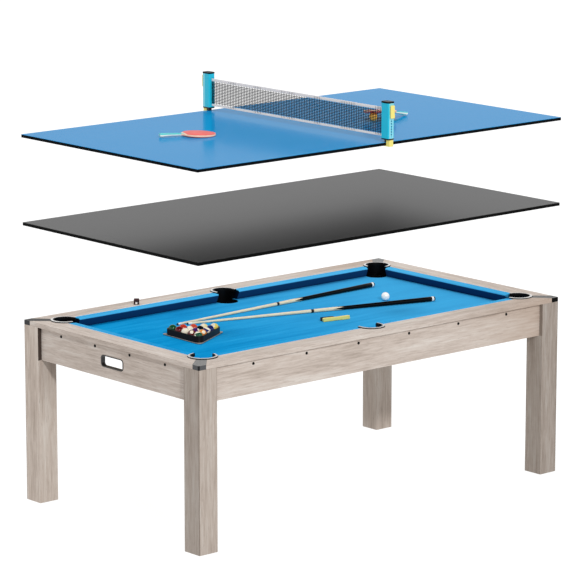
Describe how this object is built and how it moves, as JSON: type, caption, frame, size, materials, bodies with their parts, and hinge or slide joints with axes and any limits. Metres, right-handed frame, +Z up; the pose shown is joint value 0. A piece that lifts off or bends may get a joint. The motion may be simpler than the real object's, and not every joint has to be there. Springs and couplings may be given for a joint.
{
  "type": "multi game table",
  "caption": "Pool table with cloth bed, pockets and cushions, under a lift-off dining board and a table tennis board with net, paddles and balls, shown lifted apart.",
  "frame": {"origin": "on the floor under the middle of the table", "axes": "+Z up, X along the table's length, -Y towards the long side that the picture shows, -X towards the end with the window"},
  "size_m": [2.1, 1.2536, 1.803],
  "materials": {
    "oak": "pale greyed oak woodgrain, satin",
    "cap_metal": "satin grey metal",
    "pocket_plastic": "black moulded plastic",
    "blue_cloth": "bright blue woven playing cloth",
    "black_plastic": "black moulded plastic",
    "raw_board": "unfinished fibreboard",
    "black_lacquer": "gloss black lacquer with a pale splice",
    "cue_ash": "clear-varnished ash",
    "ball_resin": "polished coloured resin",
    "white_resin": "polished white resin",
    "brush_wood": "yellow painted wood, black bristle",
    "chalk_block": "dark red paper over chalk",
    "charcoal_laminate": "charcoal laminate, semi-gloss",
    "blue_lacquer": "blue lacquered board, semi-gloss",
    "net_cord": "black cord mesh with white tapes",
    "turquoise_plastic": "turquoise moulded plastic",
    "yellow_plastic": "yellow moulded plastic",
    "red_rubber": "red paddle rubber",
    "yellow_celluloid": "orange-yellow celluloid"
  },
  "bodies": {
    "table": {"apron_back": "oak", "apron_front": "oak", "apron_left": "oak", "apron_right": "oak", "bed_beam_left": "raw_board", "bed_beam_right": "raw_board", "bed_board": "raw_board", "bed_cloth": "blue_cloth", "corner_cap_back_left": "cap_metal", "corner_cap_back_right": "cap_metal", "corner_cap_front_left": "cap_metal", "corner_cap_front_right": "cap_metal", "cushion_back_left": "blue_cloth", "cushion_back_right": "blue_cloth", "cushion_front_left": "blue_cloth", "cushion_front_right": "blue_cloth", "cushion_left": "blue_cloth", "cushion_right": "blue_cloth", "leg_back_left": "oak", "leg_back_right": "oak", "leg_front_left": "oak", "leg_front_right": "oak", "pocket_back_left": "pocket_plastic", "pocket_back_middle": "pocket_plastic", "pocket_back_right": "pocket_plastic", "pocket_front_left": "pocket_plastic", "pocket_front_middle": "pocket_plastic", "pocket_front_right": "pocket_plastic", "rail_back": "oak", "rail_front": "oak", "rail_left": "oak", "rail_right": "oak", "window_frame": "black_plastic"},
    "dining_board": {"dining_board": "charcoal_laminate"},
    "tennis_board": {"tennis_board": "blue_lacquer", "net": "net_cord", "net_reel": "black_plastic", "net_housing_front": "turquoise_plastic", "net_cap_front": "black_plastic", "net_housing_back": "turquoise_plastic", "net_cap_back": "black_plastic"},
    "cue_a": {"cue_a_butt": "black_lacquer", "cue_a_shaft": "cue_ash"},
    "cue_b": {"cue_b_butt": "black_lacquer", "cue_b_shaft": "cue_ash"},
    "ball_rack": {"ball_rack": "black_plastic"},
    "racked_balls": {"racked_balls": "ball_resin"},
    "cue_ball": {"cue_ball": "white_resin"},
    "table_brush": {"table_brush": "brush_wood"},
    "chalk": {"chalk": "chalk_block"},
    "paddle_a": {"paddle_a_blade": "red_rubber", "paddle_a_handle": "turquoise_plastic"},
    "paddle_b": {"paddle_b_blade": "red_rubber", "paddle_b_handle": "turquoise_plastic"},
    "tennis_ball_a": {"tennis_ball_a": "yellow_celluloid"},
    "tennis_ball_b": {"tennis_ball_b": "yellow_celluloid"},
    "net_jaw_front": {"net_jaw_front": "yellow_plastic"},
    "net_button_front": {"net_button_front": "yellow_plastic"},
    "net_jaw_back": {"net_jaw_back": "yellow_plastic"},
    "net_button_back": {"net_button_back": "yellow_plastic"}
  },
  "joints": [
    {"name": "dining_board_lower", "type": "slide", "parent": "table", "child": "dining_board", "axis": [0, 0, 1], "range_m": [-0.4127, 0]},
    {"name": "tennis_board_lower", "type": "slide", "parent": "dining_board", "child": "tennis_board", "axis": [0, 0, 1], "range_m": [-0.3679, 0]},
    {"name": "chalk_pick_up", "type": "hinge", "parent": "table", "child": "chalk", "pos_m": [-0.4788, 0.4641, 0.8003], "axis": [1, 0, 0], "range_deg": [0, 180.2]},
    {"name": "cue_a_lift", "type": "slide", "parent": "table", "child": "cue_a", "axis": [0, 0, 1], "range_m": [0, 0.12]},
    {"name": "cue_b_lift", "type": "slide", "parent": "table", "child": "cue_b", "axis": [0, 0, 1], "range_m": [0, 0.12]},
    {"name": "ball_rack_lift", "type": "slide", "parent": "table", "child": "ball_rack", "axis": [0, 0, 1], "range_m": [0, 0.12]},
    {"name": "racked_balls_lift", "type": "slide", "parent": "ball_rack", "child": "racked_balls", "axis": [0, 0, 1], "range_m": [0, 0.12]},
    {"name": "cue_ball_lift", "type": "slide", "parent": "table", "child": "cue_ball", "axis": [0, 0, 1], "range_m": [0, 0.12]},
    {"name": "table_brush_lift", "type": "slide", "parent": "table", "child": "table_brush", "axis": [0, 0, 1], "range_m": [0, 0.12]},
    {"name": "paddle_a_lift", "type": "slide", "parent": "tennis_board", "child": "paddle_a", "axis": [0, 0, 1], "range_m": [0, 0.12]},
    {"name": "paddle_b_lift", "type": "slide", "parent": "tennis_board", "child": "paddle_b", "axis": [0, 0, 1], "range_m": [0, 0.12]},
    {"name": "tennis_ball_a_roll", "type": "slide", "parent": "tennis_board", "child": "tennis_ball_a", "axis": [-0.6574, -0.7536, 0], "range_m": [0, 0.15]},
    {"name": "tennis_ball_b_roll", "type": "slide", "parent": "tennis_board", "child": "tennis_ball_b", "axis": [-0.6574, -0.7536, 0], "range_m": [0, 0.15]},
    {"name": "net_button_front_press", "type": "slide", "parent": "tennis_board", "child": "net_button_front", "axis": [0, 1, 0], "range_m": [0, 0.0045], "stiffness_N_per_m": 400, "springref_m": -0.002},
    {"name": "net_jaw_front_open", "type": "slide", "parent": "tennis_board", "child": "net_jaw_front", "axis": [0, 0, -1], "range_m": [0, 0.009]},
    {"name": "net_button_back_press", "type": "slide", "parent": "tennis_board", "child": "net_button_back", "axis": [0, -1, 0], "range_m": [0, 0.0045], "stiffness_N_per_m": 400, "springref_m": -0.002},
    {"name": "net_jaw_back_open", "type": "slide", "parent": "tennis_board", "child": "net_jaw_back", "axis": [0, 0, -1], "range_m": [0, 0.009]}
  ],
  "couplings": [
    {"joint": "chalk_pick_up", "follows": "dining_board_lower", "rad_per_m": -7.612},
    {"joint": "net_jaw_front_open", "follows": "net_button_front_press", "ratio": 2},
    {"joint": "net_jaw_back_open", "follows": "net_button_back_press", "ratio": 2}
  ]
}
